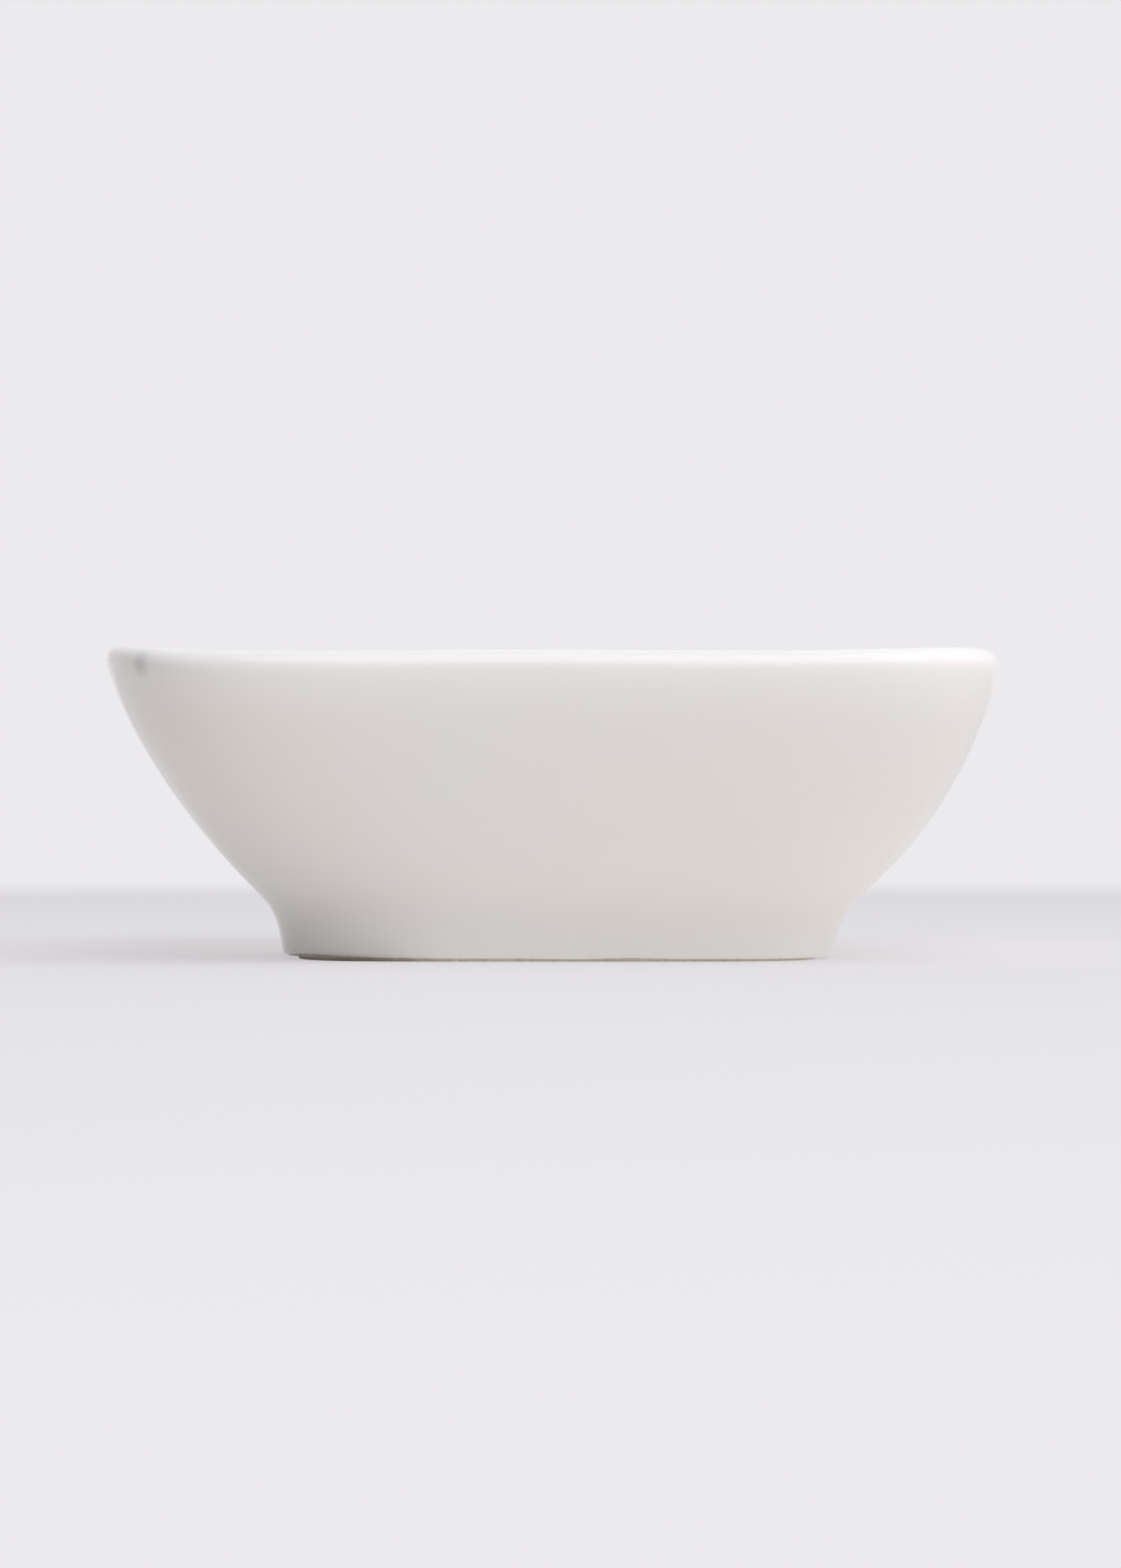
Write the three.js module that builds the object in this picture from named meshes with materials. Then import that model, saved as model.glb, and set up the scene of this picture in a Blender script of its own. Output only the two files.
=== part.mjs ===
// Small square dish of glazed porcelain, in millimetres, +Z up.
// It stands on z = 0 with its middle on the Z axis and its front towards -Y.
// Each piece is a half section turned round the Z axis and then squared up into a soft square.
import * as THREE from 'three';

// Outside of the finished dish, glaze included
const RIM_WIDTH = 80; // across two opposite sides, at the widest line of the lip
const RIM_HEIGHT = 27.4; // top of the lip at the middle of the front and back
const SIDE_LIFT = 0.6; // the left and right sides of the rim stand this much higher
const SIDE_LIFT_START = 24; // distance from the middle at which that lift begins
const FOOT_WIDTH = 50; // across the foot's sides, carried down to the table
const FOOT_SIDE = 2.5; // height of the straight foot side, up to the bend
const BEND_RADIUS = 6.8; // hollow bend between the foot and the wall
const SQUARENESS = 5.5; // power of the superellipse in plan: 2 is a circle, more is squarer

// Lean of the outside, away from upright
const FOOT_LEAN = THREE.MathUtils.degToRad(13.5);
const WALL_LEAN_BELOW = THREE.MathUtils.degToRad(46.3);
const WALL_LEAN_ABOVE = THREE.MathUtils.degToRad(14.3);

// How far the wall keeps its lean at either end, as a share of the wall's own span
const BELLY_BELOW = 0.47;
const BELLY_ABOVE = 0.17;

// Thicknesses and the recess under the dish
const WALL = 3; // the lip is a half round of this thickness
const FLOOR = 3.4; // between the bowl and the recess below it
const GLAZE = 0.3;
const FOOT_RING = 4; // width of the ring that the dish stands on, glaze included
const WELL_DEPTH = 1.8; // recess inside the foot ring
const WELL_LEAN = THREE.MathUtils.degToRad(12);
const WELL_ROUND = 0.9; // round between the recess wall and its ceiling
const DRY_LINE = 0.3; // height of the glaze's edge above the table
const FOOT_RELIEF = 1; // the bare ring stands back this far under that edge, so that it can't chip

// Fineness of the facets
const PLAN_SEGMENTS = 48;
const BEND_STEPS = 4;
const WALL_STEPS = 7;
const LIP_STEPS = 3; // in each quarter of the lip's round
const FLOOR_STEPS = 4;
const EDGE_STEPS = 3;

// In the half section x is the distance from the axis and y is the height
const point = (distance, height) => new THREE.Vector2(distance, height);
const along = (lean) => point(Math.sin(lean), Math.cos(lean));
const outOf = (lean) => point(Math.cos(lean), -Math.sin(lean));
const step = (start, direction, length) => start.clone().addScaledVector(direction, length);

// Joins runs of points and drops the point that two runs share
function join(...runs) {
  return runs.reduce((all, run) => [...all, ...run.slice(1)]);
}

// Moves each point of an outline to the left of its way along it, which is into the clay
function inset(points, distance) {
  return points.map((here, i) => {
    const before = points[Math.max(i - 1, 0)];
    const after = points[Math.min(i + 1, points.length - 1)];
    const way = after.clone().sub(before).normalize();
    return step(here, point(-way.y, way.x), distance);
  });
}

// Points at an even distance inside a curve, from its end back to its start
function innerSide(curve, distance, steps) {
  const points = [];
  for (let i = steps; i >= 0; i -= 1) {
    const way = curve.getTangent(i / steps);
    points.push(step(curve.getPoint(i / steps), point(-way.y, way.x), distance));
  }
  return points;
}

// Finished surface of the main glaze: from the dry line up the outside, over the lip and in to the axis
function dishOutline() {
  const footBottom = point(FOOT_WIDTH / 2, 0);
  const dryPoint = step(footBottom, along(FOOT_LEAN), DRY_LINE / Math.cos(FOOT_LEAN));
  const bendStart = step(footBottom, along(FOOT_LEAN), FOOT_SIDE / Math.cos(FOOT_LEAN));
  const bendCentre = step(bendStart, outOf(FOOT_LEAN), BEND_RADIUS);
  const bend = new THREE.ArcCurve(
    bendCentre.x, bendCentre.y, BEND_RADIUS,
    Math.PI - FOOT_LEAN, Math.PI - WALL_LEAN_BELOW, true,
  );

  const lipRadius = WALL / 2;
  const lipCentre = point(RIM_WIDTH / 2 - lipRadius, RIM_HEIGHT - lipRadius);
  const lipArc = (start, end) => new THREE.ArcCurve(
    lipCentre.x, lipCentre.y, lipRadius, start, end, false,
  );
  const lipCrest = Math.PI / 2;

  const wallBottom = step(bendCentre, outOf(WALL_LEAN_BELOW), -BEND_RADIUS);
  const wallTop = step(lipCentre, outOf(WALL_LEAN_ABOVE), lipRadius);
  const span = wallBottom.distanceTo(wallTop);
  const wall = new THREE.CubicBezierCurve(
    wallBottom,
    step(wallBottom, along(WALL_LEAN_BELOW), BELLY_BELOW * span),
    step(wallTop, along(WALL_LEAN_ABOVE), -BELLY_ABOVE * span),
    wallTop,
  );

  const inside = innerSide(wall, WALL, WALL_STEPS);
  const insideBottom = inside[inside.length - 1];
  const floorHeight = WELL_DEPTH + FLOOR;
  const slope = (insideBottom.y - floorHeight) / Math.cos(WALL_LEAN_BELOW);
  const floorCorner = step(insideBottom, along(WALL_LEAN_BELOW), -slope);
  const floorEdge = point(floorCorner.x - slope, floorHeight);
  const floor = new THREE.QuadraticBezierCurve(insideBottom, floorCorner, floorEdge);

  return join(
    [dryPoint, bendStart],
    bend.getPoints(BEND_STEPS),
    wall.getPoints(WALL_STEPS),
    lipArc(-WALL_LEAN_ABOVE, 0).getPoints(1),
    lipArc(0, lipCrest).getPoints(LIP_STEPS),
    lipArc(lipCrest, Math.PI - WALL_LEAN_ABOVE).getPoints(LIP_STEPS),
    inside,
    floor.getPoints(FLOOR_STEPS),
    [floorEdge, point(0, floorHeight)],
  );
}

// Finished surface of the recess below: from the axis out along its ceiling and down to the dry line
function wellOutline() {
  const wallBottom = point(FOOT_WIDTH / 2 - FOOT_RING, 0);
  const wallAt = (height) => point(wallBottom.x - height * Math.tan(WELL_LEAN), height);
  const corner = wallAt(WELL_DEPTH);
  const ceilingEdge = point(corner.x - WELL_ROUND, WELL_DEPTH);
  const round = new THREE.QuadraticBezierCurve(ceilingEdge, corner, wallAt(WELL_DEPTH - WELL_ROUND));
  return join(
    [point(0, WELL_DEPTH), ceilingEdge],
    round.getPoints(EDGE_STEPS),
    [wallAt(WELL_DEPTH - WELL_ROUND), wallAt(DRY_LINE)],
  );
}

// Bare foot between the two glazes: rounded inner edge, flat ring on the table, hollow outer edge
function footOutline(wellEnd, dishStart) {
  const innerCorner = point(wellEnd.x + wellEnd.y * Math.tan(WELL_LEAN), 0);
  const outerCorner = point(dishStart.x - dishStart.y * Math.tan(FOOT_LEAN), 0);
  const ringStart = point(innerCorner.x + DRY_LINE, 0);
  const ringEnd = point(outerCorner.x - FOOT_RELIEF, 0);
  const hollow = point(ringEnd.x, dishStart.y);
  return join(
    new THREE.QuadraticBezierCurve(wellEnd, innerCorner, ringStart).getPoints(EDGE_STEPS),
    [ringStart, ringEnd],
    new THREE.QuadraticBezierCurve(ringEnd, hollow, dishStart).getPoints(EDGE_STEPS),
  );
}

// Turns the round plan into a superellipse and lifts the rim's two sides
function squareUp(geometry) {
  const position = geometry.attributes.position;
  const power = 2 / SQUARENESS;
  const squared = (part, radius) => radius * Math.sign(part) * Math.abs(part / radius) ** power;
  for (let i = 0; i < position.count; i += 1) {
    const radius = Math.hypot(position.getX(i), position.getY(i));
    if (radius > 0) {
      const x = squared(position.getX(i), radius);
      const y = squared(position.getY(i), radius);
      const z = position.getZ(i);
      const sideShare = THREE.MathUtils.smoothstep(Math.abs(x), SIDE_LIFT_START, RIM_WIDTH / 2);
      position.setXYZ(i, x, y, z + SIDE_LIFT * sideShare * (z / RIM_HEIGHT) ** 2);
    }
  }
}

// A piece from its half section, which starts and ends on the axis
function turnedPiece(name, section, material) {
  const geometry = new THREE.LatheGeometry(section, PLAN_SEGMENTS);
  geometry.rotateX(Math.PI / 2);
  squareUp(geometry);
  // A section that runs clockwise gives faces that point in, so their corners are taken backwards
  if (THREE.ShapeUtils.isClockWise(section)) {
    geometry.index.array.reverse();
  }
  geometry.computeVertexNormals();
  const piece = new THREE.Mesh(geometry, material);
  piece.name = name;
  return piece;
}

// The body's skin is the finished surface less the glaze, and the glazes lie on that same skin
const dishSurface = dishOutline();
const dishSkin = inset(dishSurface, GLAZE);
const wellSurface = wellOutline();
const wellSkin = inset(wellSurface, GLAZE);
const foot = footOutline(wellSkin[wellSkin.length - 1], dishSkin[0]);

const fired = new THREE.MeshStandardMaterial({ color: 0xd8cdbd, roughness: 0.85, metalness: 0 });
const glazed = new THREE.MeshStandardMaterial({ color: 0xf0ece8, roughness: 0.12, metalness: 0 });
const glazedBelow = new THREE.MeshStandardMaterial({ color: 0xece8e2, roughness: 0.18, metalness: 0 });

// Both glazes follow the skin the same way as the body does, so that their facets lie face to face
const dish = new THREE.Group();
dish.add(turnedPiece('porcelain_body', join(wellSkin, foot, dishSkin), fired));
dish.add(turnedPiece('glaze_coat', [...dishSurface.toReversed(), ...dishSkin], glazed));
dish.add(turnedPiece('foot_well_glaze', [...wellSkin, ...wellSurface.toReversed()], glazedBelow));

export default dish;
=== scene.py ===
"""Looks of a small square dish: fired porcelain, a glossy white glaze and a bare foot ring."""

import math

import bmesh
import bpy
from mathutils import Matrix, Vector, noise
from mathutils.geometry import interpolate_bezier


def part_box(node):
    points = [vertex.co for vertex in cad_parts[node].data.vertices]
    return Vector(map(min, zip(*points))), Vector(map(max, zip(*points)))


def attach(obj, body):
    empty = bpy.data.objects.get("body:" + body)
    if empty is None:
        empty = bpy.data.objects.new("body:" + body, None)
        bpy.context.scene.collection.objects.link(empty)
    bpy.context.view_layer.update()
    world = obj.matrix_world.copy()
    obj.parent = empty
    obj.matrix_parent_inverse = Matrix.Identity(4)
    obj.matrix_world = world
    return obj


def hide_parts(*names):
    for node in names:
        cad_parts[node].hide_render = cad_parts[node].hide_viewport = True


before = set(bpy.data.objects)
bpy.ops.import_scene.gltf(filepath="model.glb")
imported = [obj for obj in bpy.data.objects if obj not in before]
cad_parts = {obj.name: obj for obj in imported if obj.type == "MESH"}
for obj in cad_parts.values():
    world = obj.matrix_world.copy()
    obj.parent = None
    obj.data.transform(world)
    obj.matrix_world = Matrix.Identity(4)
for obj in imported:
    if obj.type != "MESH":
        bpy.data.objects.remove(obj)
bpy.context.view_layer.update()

# Lengths of the dish are in millimetres until a mesh is finished
METRES = 0.001
coat_low, coat_high = (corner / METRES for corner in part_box("glaze_coat"))
well_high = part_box("foot_well_glaze")[1] / METRES

# Sizes of the finished dish that the frame gives
RIM_HALF = coat_high.x
DRY_LINE = coat_low.z
WELL_CEILING = well_high.z

# Outside of the half section. Leans are away from upright, and the bellies say how far the wall
# keeps its lean at either end, as a share of its span
FRONT_TOP = 27.4
FOOT_HALF = 25.0
FOOT_SIDE = 2.5
BEND_RADIUS = 6.8
FOOT_LEAN = math.radians(13.5)
WALL_LEAN_BELOW = math.radians(46.3)
WALL_LEAN_ABOVE = math.radians(8)
BELLY_BELOW = 0.47
BELLY_ABOVE = 0.13

# Thicknesses, the floor of the bowl, the foot ring and the recess inside it. The bare ring stands
# back under the glaze's edge by the relief
GLAZE = 0.3
WALL = 3.0
FLOOR_TOP = 5.2
FOOT_RING = 4.0
FOOT_RELIEF = 1.0
WELL_DEPTH = WELL_CEILING - GLAZE
WELL_LEAN = math.radians(12)
WELL_ROUND = 0.9

# Steps along the stretches of the half sections
EDGE_STEPS = 8
FOOT_SIDE_STEPS = 6
BEND_STEPS = 12
WALL_STEPS = 26
LIP_STEPS = 20
FLOOR_ROUND_STEPS = 10
FLOOR_STEPS = 10
CEILING_STEPS = 12
WELL_ROUND_STEPS = 8
WELL_WALL_STEPS = 8
BARE_FOOT_STEPS = 6

# Plan: power of the superellipse, the number of steps of a full turn, and a power below 1
# that moves more of those steps to the corners
SQUARENESS = 5.5
TURN_STEPS = 360
CORNER_CROWDING = 0.7

# The skin under the glaze is never seen, so it keeps every third point of its section
SKIN_STRIDE = 3

# Points closer together than this are merged, and points closer to the axis than this lie on it
MERGE_DISTANCE = 1e-4
ON_AXIS = 1e-6

# The glaze rounds off over this height at its edge
EDGE_ROUND = 0.45

# That edge hangs lower or higher round the foot: a general drop, a lean up to the left,
# and local rises given as turn from the front in degrees, width in degrees and height
EDGE_DROP = 0.08
EDGE_LEAN = 0.06
EDGE_RISES = (
    (-45, 9, 0.28), (3, 5, -0.05), (15, 4.5, 0.09),
    (80, 12, 0.12), (128, 8, 0.15), (175, 10, 0.08), (-100, 14, 0.14), (-150, 9, 0.10),
)

# Marks of the hand and the kiln. The rim opens by a small share, and its left and right sides lift
# by their own amounts, from one distance outwards, with a power that says how late
RIM_OPENING = 0.004
LEFT_LIFT = 1.2
LEFT_LIFT_POWER = 3.5
RIGHT_LIFT = 0.55
RIGHT_LIFT_POWER = 1.5
LIFT_START = 20.0

# A low crown in the rim's front: its height, place and width, and where it comes in towards the front
FRONT_CROWN = 0.09
CROWN_PLACE = -4.0
CROWN_WIDTH = 7.0
CROWN_START = 10.0
CROWN_FULL = 35.0

# The wall sways sideways with its height, and swells softly from just above the table upwards
SWAY = 0.46
SWAY_LENGTH = 40.0
SWELL = 0.10
SWELL_LENGTH = 17.0
SWELL_START = 1.0
SWELL_FULL = 6.0
SWELL_SEED = 7


def smoothstep(value, low, high):
    """0 below low, 1 above high and a smooth rise between them."""
    share = min(max((value - low) / (high - low), 0.0), 1.0)
    return share * share * (3.0 - 2.0 * share)


def hill(value, place, width):
    """1 at place, falling to nothing on both sides."""
    return math.exp(-(((value - place) / width) ** 2))


# Half sections: x is the distance from the middle axis and y is the height

def point(distance, height):
    return Vector((distance, height))


def along(lean):
    """The way up a wall that leans outwards."""
    return point(math.sin(lean), math.cos(lean))


def out_of(lean):
    """The way straight out of such a wall."""
    return point(math.cos(lean), -math.sin(lean))


def line(start, end, steps):
    return [start.lerp(end, i / steps) for i in range(steps + 1)]


def arc(centre, radius, start, end, steps):
    turns = [start + (end - start) * i / steps for i in range(steps + 1)]
    return [centre + radius * point(math.cos(turn), math.sin(turn)) for turn in turns]


def corner_round(start, corner, end, steps):
    """A parabola that leaves start and reaches end along the two sides of a corner."""
    hold = 2 / 3
    return interpolate_bezier(start, start.lerp(corner, hold), end.lerp(corner, hold), end, steps + 1)


def join(*runs):
    """Joins runs of points and drops the point that two runs share."""
    whole = list(runs[0])
    for run in runs[1:]:
        whole += run[1:]
    return whole


def inset(points, distance):
    """Moves each point to the left of its way along the outline, which is into the clay."""
    moved = []
    for i, here in enumerate(points):
        before = points[max(i - 1, 0)]
        after = points[min(i + 1, len(points) - 1)]
        way = (after - before).normalized()
        moved.append(here + distance * point(-way.y, way.x))
    return moved


def dish_surface():
    """Finished surface from the dry line up the outside, over the lip and in to the axis."""
    foot_bottom = point(FOOT_HALF, 0)
    dry_point = foot_bottom + along(FOOT_LEAN) * DRY_LINE / math.cos(FOOT_LEAN)
    edge_top = foot_bottom + along(FOOT_LEAN) * (DRY_LINE + EDGE_ROUND) / math.cos(FOOT_LEAN)
    bend_start = foot_bottom + along(FOOT_LEAN) * FOOT_SIDE / math.cos(FOOT_LEAN)
    bend_centre = bend_start + out_of(FOOT_LEAN) * BEND_RADIUS
    bend = arc(bend_centre, BEND_RADIUS, math.pi - FOOT_LEAN, math.pi - WALL_LEAN_BELOW, BEND_STEPS)

    lip_radius = WALL / 2
    lip_centre = point(RIM_HALF - lip_radius, FRONT_TOP - lip_radius)
    lip = arc(lip_centre, lip_radius, -WALL_LEAN_ABOVE, math.pi - WALL_LEAN_ABOVE, LIP_STEPS)

    wall_bottom = bend[-1]
    wall_top = lip[0]
    span = (wall_top - wall_bottom).length
    hold_below = wall_bottom + along(WALL_LEAN_BELOW) * BELLY_BELOW * span
    hold_above = wall_top - along(WALL_LEAN_ABOVE) * BELLY_ABOVE * span
    wall = interpolate_bezier(wall_bottom, hold_below, hold_above, wall_top, WALL_STEPS + 1)
    inside = list(reversed(inset(wall, WALL)))

    slope = (inside[-1].y - FLOOR_TOP) / math.cos(WALL_LEAN_BELOW)
    floor_corner = inside[-1] - along(WALL_LEAN_BELOW) * slope
    floor_edge = point(floor_corner.x - slope, FLOOR_TOP)
    return join(
        line(dry_point, edge_top, EDGE_STEPS),
        line(edge_top, bend_start, FOOT_SIDE_STEPS),
        bend,
        wall,
        lip,
        inside,
        corner_round(inside[-1], floor_corner, floor_edge, FLOOR_ROUND_STEPS),
        line(floor_edge, point(0, FLOOR_TOP), FLOOR_STEPS),
    )


def well_surface():
    """Finished surface of the recess: from the axis out along its ceiling and down to the dry line."""
    def wall_at(height):
        return point(FOOT_HALF - FOOT_RING - height * math.tan(WELL_LEAN), height)

    corner = wall_at(WELL_DEPTH)
    ceiling_edge = point(corner.x - WELL_ROUND, WELL_DEPTH)
    wall_top = wall_at(WELL_DEPTH - WELL_ROUND)
    return join(
        line(point(0, WELL_DEPTH), ceiling_edge, CEILING_STEPS),
        corner_round(ceiling_edge, corner, wall_top, WELL_ROUND_STEPS),
        line(wall_top, wall_at(DRY_LINE), WELL_WALL_STEPS),
    )


def bare_foot(well_end, dish_start):
    """Bare foot between the two glazes: rounded inner edge, flat ring, hollow outer edge."""
    inner_corner = point(well_end.x + well_end.y * math.tan(WELL_LEAN), 0)
    outer_corner = point(dish_start.x - dish_start.y * math.tan(FOOT_LEAN), 0)
    ring_start = point(inner_corner.x + DRY_LINE, 0)
    ring_end = point(outer_corner.x - FOOT_RELIEF, 0)
    hollow = point(ring_end.x, dish_start.y)
    return join(
        corner_round(well_end, inner_corner, ring_start, BARE_FOOT_STEPS),
        line(ring_start, ring_end, BARE_FOOT_STEPS),
        corner_round(ring_end, hollow, dish_start, BARE_FOOT_STEPS),
    )


def glaze_share(height):
    """Thickness of the glaze near its edge, as a share of its full thickness."""
    above = max(height - DRY_LINE, 0.0)
    rounding = 1.0 - min(above / EDGE_ROUND, 1.0)
    return math.sqrt(1.0 - rounding * rounding)


def glaze_run(surface, skin):
    """Outer run of a glaze over its skin, thinning to nothing at the dry line."""
    return [low.lerp(top, glaze_share(top.y)) for low, top in zip(skin, surface)]


def thinned(points):
    """The same run with fewer points, its two ends kept."""
    return points[:-1:SKIN_STRIDE] + points[-1:]


# Shaping of a turned piece: first the soft square, then the marks of the hand

def squared(place):
    """A point of the round piece moved out to the superellipse."""
    radius = math.hypot(place.x, place.y)
    if radius < ON_AXIS:
        return place.copy()
    across = math.copysign(abs(place.x / radius) ** CORNER_CROWDING, place.x)
    deep = math.copysign(abs(place.y / radius) ** CORNER_CROWDING, place.y)
    reach = radius * (abs(across) ** SQUARENESS + abs(deep) ** SQUARENESS) ** (-1 / SQUARENESS)
    return Vector((across * reach, deep * reach, place.z))


def warped(place):
    """The lift of the rim's two sides, a low crown in its front, a slight sway and a soft unevenness."""
    height = place.z / FRONT_TOP
    side = min(max((abs(place.x) - LIFT_START) / (RIM_HALF - LIFT_START), 0.0), 1.0)
    left = LEFT_LIFT * side ** LEFT_LIFT_POWER
    right = RIGHT_LIFT * side ** RIGHT_LIFT_POWER
    rise = left if place.x < 0 else right
    front = smoothstep(-place.y, CROWN_START, CROWN_FULL)
    rise += FRONT_CROWN * hill(place.x, CROWN_PLACE, CROWN_WIDTH) * front
    sway = SWAY * math.sin(2 * math.pi * place.z / SWAY_LENGTH)
    grip = smoothstep(place.z, SWELL_START, SWELL_FULL)
    swell = SWELL * grip * noise.noise_vector(place / SWELL_LENGTH)
    opened = 1.0 + RIM_OPENING * height
    return Vector((place.x * opened + sway, place.y * opened, place.z + rise * height ** 2)) + swell


def edge_wave(place):
    """Rise of the glaze's edge at a place round the foot."""
    turn = math.degrees(math.atan2(place.x, -place.y))
    wave = -EDGE_DROP - EDGE_LEAN * place.x / FOOT_HALF
    for middle, width, height in EDGE_RISES:
        wave += height * hill((turn - middle + 180) % 360, 180, width)
    return wave


def waved(place):
    """The glaze's edge moved up or down the foot side, which leaves the rest of the coat where it is."""
    near = 1.0 - smoothstep(place.z, DRY_LINE, FOOT_SIDE)
    slide = edge_wave(place) * near
    distance = max(abs(place.x), abs(place.y))
    out = 1.0 + slide * math.tan(FOOT_LEAN) / distance if distance > 0 else 1.0
    return Vector((place.x * out, place.y * out, place.z + slide))


def turned_piece(name, section, shapes):
    """Spins a half section round the axis, shapes it and makes it an object in metres."""
    mesh = bmesh.new()
    corners = [mesh.verts.new((spot.x, 0, spot.y)) for spot in section]
    sides = [mesh.edges.new(pair) for pair in zip(corners, corners[1:])]
    bmesh.ops.spin(
        mesh, geom=corners + sides, axis=(0, 0, 1), cent=(0, 0, 0),
        angle=2 * math.pi, steps=TURN_STEPS, use_merge=True,
    )
    bmesh.ops.remove_doubles(mesh, verts=mesh.verts, dist=MERGE_DISTANCE)
    bmesh.ops.recalc_face_normals(mesh, faces=mesh.faces)
    for vert in mesh.verts:
        for shape in shapes:
            vert.co = shape(vert.co)
    bmesh.ops.scale(mesh, vec=(METRES, METRES, METRES), verts=mesh.verts)
    for face in mesh.faces:
        face.smooth = True
    data = bpy.data.meshes.new(name)
    mesh.to_mesh(data)
    mesh.free()
    piece = bpy.data.objects.new(name, data)
    bpy.context.scene.collection.objects.link(piece)
    return piece


# Materials

def colour(code):
    """Linear colour of an sRGB hex code."""
    parts = [int(code[i:i + 2], 16) / 255 for i in (1, 3, 5)]
    linear = [part / 12.92 if part <= 0.04045 else ((part + 0.055) / 1.055) ** 2.4 for part in parts]
    return (*linear, 1.0)


def add(tree, kind, settings=None, **inputs):
    """Adds a node, sets its own settings, and sets or links its inputs.

    An input goes by its name, or by its number as in i0, where several inputs share a name."""
    node = tree.nodes.new(kind)
    for key, value in (settings or {}).items():
        setattr(node, key, value)
    for key, value in inputs.items():
        socket = node.inputs[int(key[1:])] if key[1:].isdigit() else node.inputs[key.replace("_", " ")]
        if isinstance(value, bpy.types.NodeSocket):
            tree.links.new(value, socket)
        else:
            socket.default_value = value
    return node


def new_material(name):
    material = bpy.data.materials.new(name)
    material.use_nodes = True
    material.node_tree.nodes.clear()
    return material, material.node_tree


CERAMIC_IOR = 1.5

# Soft clouds in the glaze: their size, and the warmth at two levels of their noise
CLOUD_SIZE = 22.0
CLOUD_DETAIL = 2.0
CLOUD_RANGE = (0.25, 0.75)
CLOUD_WARMTH = (0.2, 1.0)

# Up to this height the glaze turns cooler towards the table, with this share of its warmth at the table
COOLING_HEIGHT = 4.0
FOOT_WARMTH = 0.35

# Heights between which the glaze is painted whiter towards the rim, a painted light on the upper wall and
# lip
RIM_LIGHT_START = 20.5
RIM_LIGHT_FULL = 26.0

# Waves in the glaze: their size and depth, and the roughness that they add at most
RIPPLE_SIZE = 7.0
RIPPLE_DETAIL = 1.0
RIPPLE_DEPTH = 0.008
RIPPLE_RANGE = (0.3, 0.7)
RIPPLE_DULLING = 0.04

# A darker spot in the glaze's colour on the lip's left front corner: its place, its size and the tone it
# leaves
DARK_SPOT_PLACE = Vector((-36.0, -34.5, 26.3))
DARK_SPOT_SIZE = 1.6
DARK_SPOT_TONE = 0.72

# Each glaze: its cool and warm colours, the whiter colour painted towards its rim as light, and its least
# roughness
COAT_LOOK = ("#EDECEA", "#F2EDE7", "#F5F2EF", 0.07)
WELL_LOOK = ("#E6E4E2", "#ECE5E0", "#ECE5E0", 0.14)

# Bare porcelain: its grain, coarser than the real one so that it shows, with its two colours, the
# depth and strength of its bump, and its roughness
GRAIN_SIZE = 0.5
GRAIN_DETAIL = 4.0
GRAIN_RANGE = (0.3, 0.7)
GRAIN_DARK = "#BDB4A8"
GRAIN_PALE = "#D9D1C6"
GRIT_DEPTH = 0.1
GRIT_STRENGTH = 0.4
BARE_ROUGHNESS = 0.85


def per_metre(millimetres):
    """Texture scale whose features are about that many millimetres across."""
    return 1000.0 / millimetres


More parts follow.
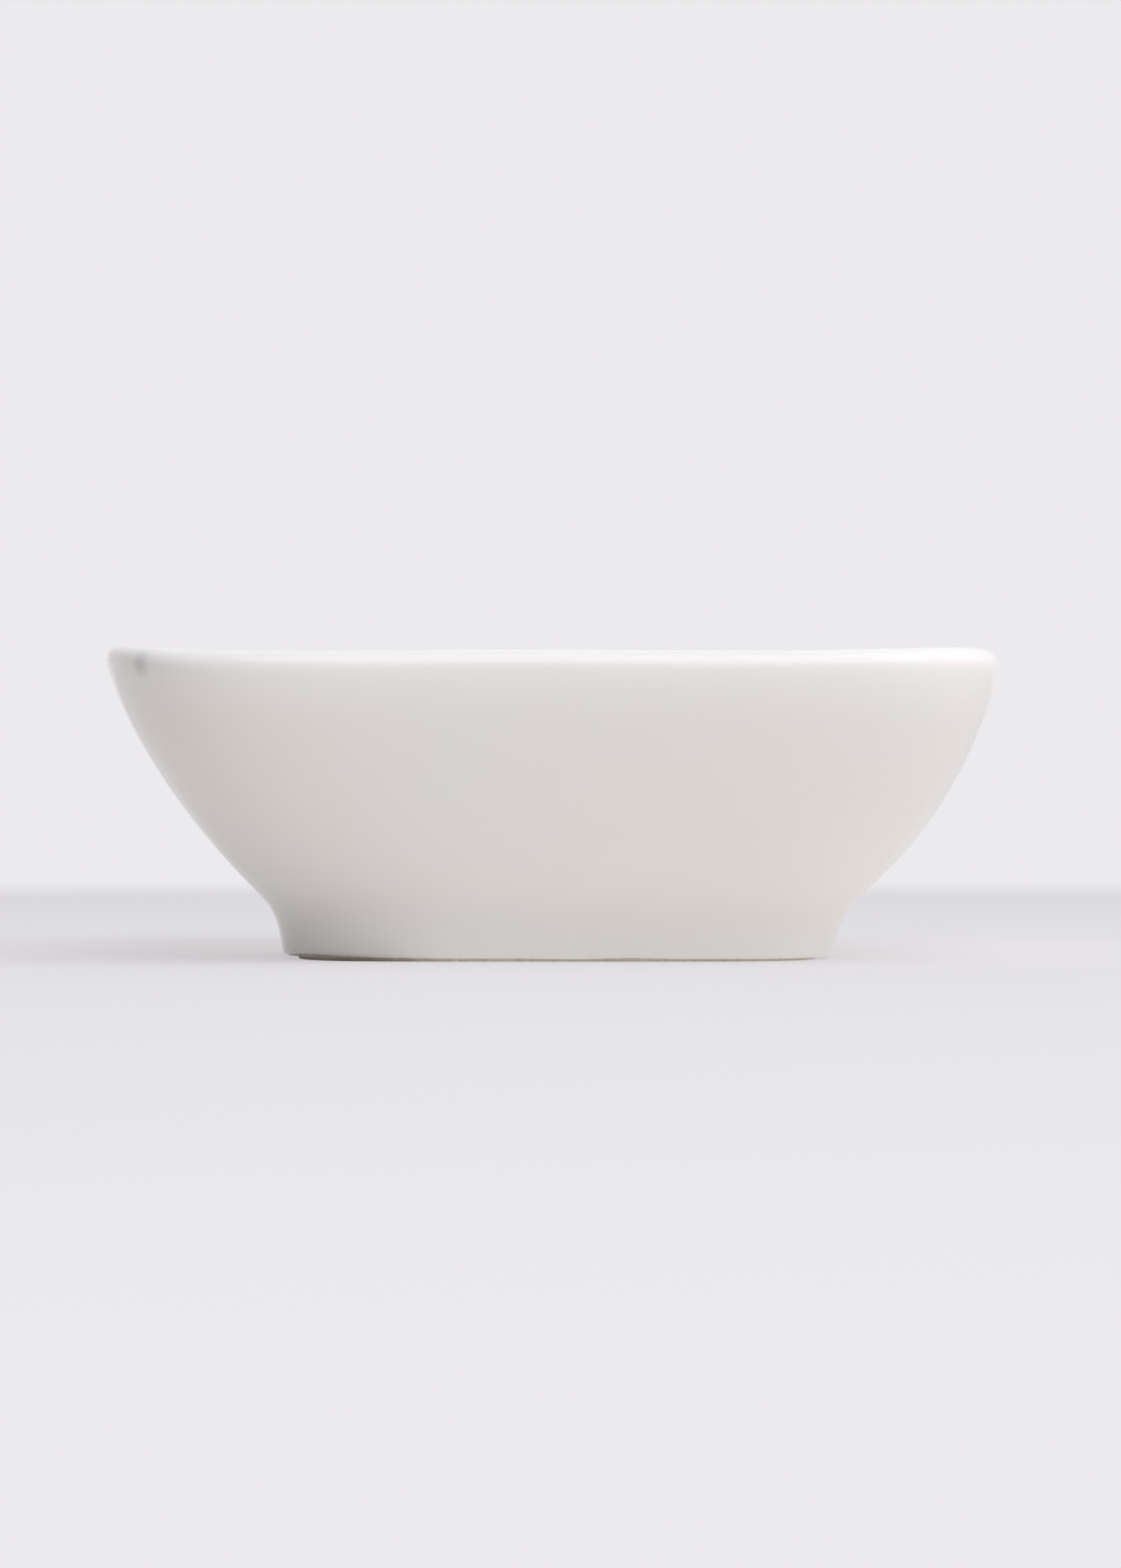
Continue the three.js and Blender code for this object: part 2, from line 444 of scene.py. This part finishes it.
def white_glaze(name, cool, warm, white, roughness):
    """Glossy feldspar glaze, dipped and fired.

    The eye sees a warm white that clouds softly and turns cooler towards the foot. Towards the rim
    it is painted whiter, a painted light on the upper wall and lip. A darker spot sits on one
    corner of the lip, and lights mirror with a slight waviness."""
    material, tree = new_material(name)
    place = add(tree, "ShaderNodeTexCoord").outputs["Object"]
    cloud = add(
        tree, "ShaderNodeTexNoise", Vector=place, Scale=per_metre(CLOUD_SIZE), Detail=CLOUD_DETAIL,
    )
    height = add(tree, "ShaderNodeSeparateXYZ", Vector=place)
    # The glaze loses warmth towards the table
    warmth_by_height = add(
        tree, "ShaderNodeMapRange", {"interpolation_type": "SMOOTHSTEP"}, Value=height.outputs["Z"],
        From_Min=0.0, From_Max=COOLING_HEIGHT * METRES, To_Min=FOOT_WARMTH, To_Max=1.0,
    )
    tone = add(
        tree, "ShaderNodeMapRange", Value=cloud.outputs["Fac"],
        From_Min=CLOUD_RANGE[0], From_Max=CLOUD_RANGE[1],
        To_Min=CLOUD_WARMTH[0], To_Max=CLOUD_WARMTH[1],
    )
    warmth = add(
        tree, "ShaderNodeMath", {"operation": "MULTIPLY"},
        i0=tone.outputs["Result"], i1=warmth_by_height.outputs["Result"],
    )
    tint = add(
        tree, "ShaderNodeMix", {"data_type": "RGBA"},
        i0=warmth.outputs["Value"], i6=colour(cool), i7=colour(warm),
    )
    # Painted light: between these heights the colour turns to the whiter rim colour
    rim = add(
        tree, "ShaderNodeMapRange", {"interpolation_type": "SMOOTHSTEP"}, Value=height.outputs["Z"],
        From_Min=RIM_LIGHT_START * METRES, From_Max=RIM_LIGHT_FULL * METRES,
    )
    rim_lit = add(
        tree, "ShaderNodeMix", {"data_type": "RGBA"},
        i0=rim.outputs["Result"], i6=tint.outputs[2], i7=colour(white),
    )
    # The colour is darkened in a small spot on the lip's left front corner
    away = add(
        tree, "ShaderNodeVectorMath", {"operation": "DISTANCE"}, i0=place, i1=DARK_SPOT_PLACE * METRES,
    )
    dark_spot = add(
        tree, "ShaderNodeMapRange", {"interpolation_type": "SMOOTHSTEP"}, Value=away.outputs["Value"],
        From_Max=DARK_SPOT_SIZE * METRES, To_Min=DARK_SPOT_TONE, To_Max=1.0,
    )
    spot_darkened = add(
        tree, "ShaderNodeVectorMath", {"operation": "SCALE"},
        i0=rim_lit.outputs[2], Scale=dark_spot.outputs["Result"],
    )
    ripple = add(
        tree, "ShaderNodeTexNoise", Vector=place, Scale=per_metre(RIPPLE_SIZE), Detail=RIPPLE_DETAIL,
    )
    wave = add(tree, "ShaderNodeBump", Distance=RIPPLE_DEPTH * METRES, Height=ripple.outputs["Fac"])
    dull = add(
        tree, "ShaderNodeMapRange", Value=ripple.outputs["Fac"],
        From_Min=RIPPLE_RANGE[0], From_Max=RIPPLE_RANGE[1],
        To_Min=roughness, To_Max=roughness + RIPPLE_DULLING,
    )
    surface = add(
        tree, "ShaderNodeBsdfPrincipled", Base_Color=spot_darkened.outputs["Vector"],
        Roughness=dull.outputs["Result"], IOR=CERAMIC_IOR, Normal=wave.outputs["Normal"],
    )
    add(tree, "ShaderNodeOutputMaterial", Surface=surface.outputs["BSDF"])
    return material


def bare_porcelain():
    """Fired porcelain with no glaze, wiped and ground at the foot.

    The eye sees a matt, slightly sandy, warm grey white with darker rubbed specks."""
    material, tree = new_material("fired_porcelain_bare")
    place = add(tree, "ShaderNodeTexCoord").outputs["Object"]
    grain = add(
        tree, "ShaderNodeTexNoise", Vector=place, Scale=per_metre(GRAIN_SIZE), Detail=GRAIN_DETAIL,
    )
    tone = add(
        tree, "ShaderNodeMapRange", Value=grain.outputs["Fac"],
        From_Min=GRAIN_RANGE[0], From_Max=GRAIN_RANGE[1],
    )
    tint = add(
        tree, "ShaderNodeMix", {"data_type": "RGBA"},
        i0=tone.outputs["Result"], i6=colour(GRAIN_DARK), i7=colour(GRAIN_PALE),
    )
    grit = add(
        tree, "ShaderNodeBump", Strength=GRIT_STRENGTH, Distance=GRIT_DEPTH * METRES,
        Height=grain.outputs["Fac"],
    )
    surface = add(
        tree, "ShaderNodeBsdfPrincipled", Base_Color=tint.outputs[2],
        Roughness=BARE_ROUGHNESS, IOR=CERAMIC_IOR, Normal=grit.outputs["Normal"],
    )
    add(tree, "ShaderNodeOutputMaterial", Surface=surface.outputs["BSDF"])
    return material


# Pieces of the dish

def make_dish():
    surface = dish_surface()
    skin = inset(surface, GLAZE)
    well = well_surface()
    well_skin = inset(well, GLAZE)
    foot = bare_foot(well_skin[-1], skin[0])
    coat = glaze_run(surface, skin)
    island = glaze_run(well, well_skin)
    hidden = thinned(skin)

    parts = {
        "porcelain_body": ("fired_body", join(well_skin, foot, hidden), [squared, warped]),
        "glaze_coat": ("glaze_skin", join(hidden[::-1], coat), [squared, waved, warped]),
        "foot_well_glaze": ("well_glaze", join(island, well_skin[::-1]), [squared, warped]),
    }
    finishes = {
        "porcelain_body": ("bare_porcelain", bare_porcelain()),
        "glaze_coat": ("white_glaze", white_glaze("feldspar_glaze_white", *COAT_LOOK)),
        "foot_well_glaze": ("white_glaze_below", white_glaze("feldspar_glaze_below", *WELL_LOOK)),
    }
    for node, (name, section, shapes) in parts.items():
        piece = turned_piece(name, section, shapes)
        slot, material = finishes[node]
        piece.data.materials.append(material)
        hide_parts(node)
        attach(piece, "root")


# Stage, in metres: a pale board that fades into its surroundings, a wall behind and soft lamps

BACKDROP = "#ECEAED"
BACKDROP_LEVEL = 1.0
BOARD = "#F0EEEE"
BOARD_RADIUS = 4.0
BOARD_SEGMENTS = 96
BOARD_FADE_START = 0.08
BOARD_FADE_END = 0.40

# Least share of the board's light that comes from itself, so that its shadows stay pale, and the
# warm tint in which the dish gets it. The lamps are set for the dish, so the board's own colour is
# darker where it is looked at
BOARD_GLOW = 0.60
BOARD_BOUNCE = "#EEEAE8"
BOARD_SEEN = "#D4D2D4"

# Brightness with which the surroundings light the dish. Turns are in degrees from straight behind
# towards the right, and edges are the outer and inner angle from the middle of a sector
WALL_LEVEL = 1.0
ROOM_LEVEL = 0.08
WALL_MIDDLE = 10
WALL_EDGES = (88, 82)
BOARD_LEVEL = 1.11

# The board lies in shade on the left. The distances from the dish's middle are those at which the
# shade begins, is full, starts to lighten and has lost its share
SHADE_LEVEL = 0.12
SHADE_MIDDLE = -118
SHADE_EDGES = (42, 20)
SHADE_START = 0.018
SHADE_FULL = 0.024
SHADE_FADE = 0.026
SHADE_END = 0.040
SHADE_LOSS = 0.68

# Soft square lamps that face the dish: turn from the front towards the right and rise in degrees,
# size in metres, power in watts, and whether the glaze mirrors them. One broad mirror image is
# enough: more of them would make the lip plain white
LAMP_TINT = "#F8FAFF"
LAMP_TARGET = Vector((0, 0, 0.015))
LAMP_DISTANCE = 0.75
LAMPS = {
    "front_right_softbox": (25, 53, 0.90, 3.28, True),
    "front_right_key": (26, 54, 0.60, 1.95, False),
    "right_softbox": (65, 44, 0.42, 0.58, False),
}

# Level camera in front of the dish and a little over half way up it, with lens and sensor in millimetres
CAMERA_PLACE = (0.0003, -0.5, 0.01583)
CAMERA_LENS = 122.7
CAMERA_SENSOR = 36.0
CAMERA_NEAR = 0.01


def backdrop_share(tree):
    """1 for rays that look at the backdrop, straight, mirrored or through glass, and 0 for its light."""
    path = add(tree, "ShaderNodeLightPath").outputs
    looks = add(
        tree, "ShaderNodeMath", {"operation": "MAXIMUM"},
        i0=path["Is Camera Ray"], i1=path["Is Glossy Ray"],
    )
    looks_through = add(
        tree, "ShaderNodeMath", {"operation": "MAXIMUM"},
        i0=looks.outputs["Value"], i1=path["Is Transmission Ray"],
    )
    return looks_through.outputs["Value"]


def sector(tree, way, middle, edges, outside, inside):
    """A value that goes from outside to inside across the edges of a sector round the dish."""
    turn = math.radians(middle)
    towards = (math.sin(turn), math.cos(turn), 0)
    straight = add(tree, "ShaderNodeVectorMath", {"operation": "NORMALIZE"}, i0=way)
    facing = add(
        tree, "ShaderNodeVectorMath", {"operation": "DOT_PRODUCT"},
        i0=straight.outputs["Vector"], i1=towards,
    )
    outer, inner = (math.cos(math.radians(edge)) for edge in edges)
    level = add(
        tree, "ShaderNodeMapRange", {"interpolation_type": "SMOOTHSTEP"}, Value=facing.outputs["Value"],
        From_Min=outer, From_Max=inner, To_Min=outside, To_Max=inside,
    )
    return level.outputs["Result"]


def make_board():
    mesh = bmesh.new()
    bmesh.ops.create_circle(mesh, cap_ends=True, radius=BOARD_RADIUS, segments=BOARD_SEGMENTS)
    data = bpy.data.meshes.new("board")
    mesh.to_mesh(data)
    mesh.free()
    board = bpy.data.objects.new("board", data)
    bpy.context.scene.collection.objects.link(board)

    material, tree = new_material("pale_board")
    place = add(tree, "ShaderNodeTexCoord").outputs["Object"]
    distance = add(tree, "ShaderNodeVectorMath", {"operation": "LENGTH"}, i0=place)
    fade = add(
        tree, "ShaderNodeMapRange", {"interpolation_type": "SMOOTHSTEP"},
        Value=distance.outputs["Value"], From_Min=BOARD_FADE_START, From_Max=BOARD_FADE_END,
    )
    share = add(tree, "ShaderNodeMath", {"operation": "MAXIMUM"}, i0=fade.outputs["Result"], i1=BOARD_GLOW)
    seen = backdrop_share(tree)
    top_tint = add(
        tree, "ShaderNodeMix", {"data_type": "RGBA"}, i0=seen, i6=colour(BOARD), i7=colour(BOARD_SEEN),
    )
    near = add(tree, "ShaderNodeBsdfDiffuse", Color=top_tint.outputs[2])
    begun = add(
        tree, "ShaderNodeMapRange", {"interpolation_type": "SMOOTHSTEP"},
        Value=distance.outputs["Value"], From_Min=SHADE_START, From_Max=SHADE_FULL,
    )
    ended = add(
        tree, "ShaderNodeMapRange", {"interpolation_type": "SMOOTHSTEP"},
        Value=distance.outputs["Value"], From_Min=SHADE_FADE, From_Max=SHADE_END, To_Max=SHADE_LOSS,
    )
    shaded = add(
        tree, "ShaderNodeMath", {"operation": "SUBTRACT"},
        i0=begun.outputs["Result"], i1=ended.outputs["Result"],
    )
    bounce = add(
        tree, "ShaderNodeMix", {"data_type": "FLOAT"}, i0=shaded.outputs["Value"], i2=BOARD_LEVEL,
        i3=sector(tree, place, SHADE_MIDDLE, SHADE_EDGES, BOARD_LEVEL, SHADE_LEVEL),
    )
    level = add(
        tree, "ShaderNodeMix", {"data_type": "FLOAT"},
        i0=seen, i2=bounce.outputs[0], i3=BACKDROP_LEVEL,
    )
    glow_tint = add(
        tree, "ShaderNodeMix", {"data_type": "RGBA"},
        i0=seen, i6=colour(BOARD_BOUNCE), i7=colour(BACKDROP),
    )
    far = add(tree, "ShaderNodeEmission", Color=glow_tint.outputs[2], Strength=level.outputs[0])
    both = add(
        tree, "ShaderNodeMixShader", i0=share.outputs["Value"],
        i1=near.outputs["BSDF"], i2=far.outputs["Emission"],
    )
    # From below the board is clear, so that the foot can be looked at
    below = add(tree, "ShaderNodeNewGeometry").outputs["Backfacing"]
    clear = add(tree, "ShaderNodeBsdfTransparent")
    one_way = add(
        tree, "ShaderNodeMixShader", i0=below, i1=both.outputs["Shader"], i2=clear.outputs["BSDF"],
    )
    add(tree, "ShaderNodeOutputMaterial", Surface=one_way.outputs["Shader"])
    board.data.materials.append(material)


def make_surroundings():
    """Looked at, an even backdrop. As light on the dish, a bright wall and a dim room."""
    world = bpy.data.worlds.new("studio")
    world.use_nodes = True
    tree = world.node_tree
    tree.nodes.clear()
    way = add(tree, "ShaderNodeTexCoord").outputs["Generated"]
    level = add(
        tree, "ShaderNodeMix", {"data_type": "FLOAT"}, i0=backdrop_share(tree),
        i2=sector(tree, way, WALL_MIDDLE, WALL_EDGES, ROOM_LEVEL, WALL_LEVEL), i3=BACKDROP_LEVEL,
    )
    light = add(tree, "ShaderNodeBackground", Color=colour(BACKDROP), Strength=level.outputs[0])
    add(tree, "ShaderNodeOutputWorld", Surface=light.outputs["Background"])
    bpy.context.scene.world = world


def make_lamp(name, turn, rise, size, power, mirrored):
    lamp = bpy.data.lights.new(name, "AREA")
    lamp.shape = "SQUARE"
    lamp.size = size
    lamp.energy = power
    lamp.color = colour(LAMP_TINT)[:3]
    turn = math.radians(turn)
    rise = math.radians(rise)
    way = Vector((math.sin(turn) * math.cos(rise), -math.cos(turn) * math.cos(rise), math.sin(rise)))
    holder = bpy.data.objects.new(name, lamp)
    holder.location = LAMP_TARGET + LAMP_DISTANCE * way
    holder.rotation_euler = way.to_track_quat("Z", "Y").to_euler()
    holder.visible_camera = False
    holder.visible_glossy = mirrored
    bpy.context.scene.collection.objects.link(holder)


def make_camera():
    lens = bpy.data.cameras.new("camera")
    lens.sensor_width = CAMERA_SENSOR
    lens.lens = CAMERA_LENS
    lens.clip_start = CAMERA_NEAR
    camera = bpy.data.objects.new("camera", lens)
    camera.location = CAMERA_PLACE
    camera.rotation_euler = (math.pi / 2, 0, 0)
    bpy.context.scene.collection.objects.link(camera)
    bpy.context.scene.camera = camera


noise.seed_set(SWELL_SEED)
make_dish()
make_board()
make_surroundings()
for name, settings in LAMPS.items():
    make_lamp(name, *settings)
make_camera()
bpy.context.scene.view_settings.view_transform = "Standard"
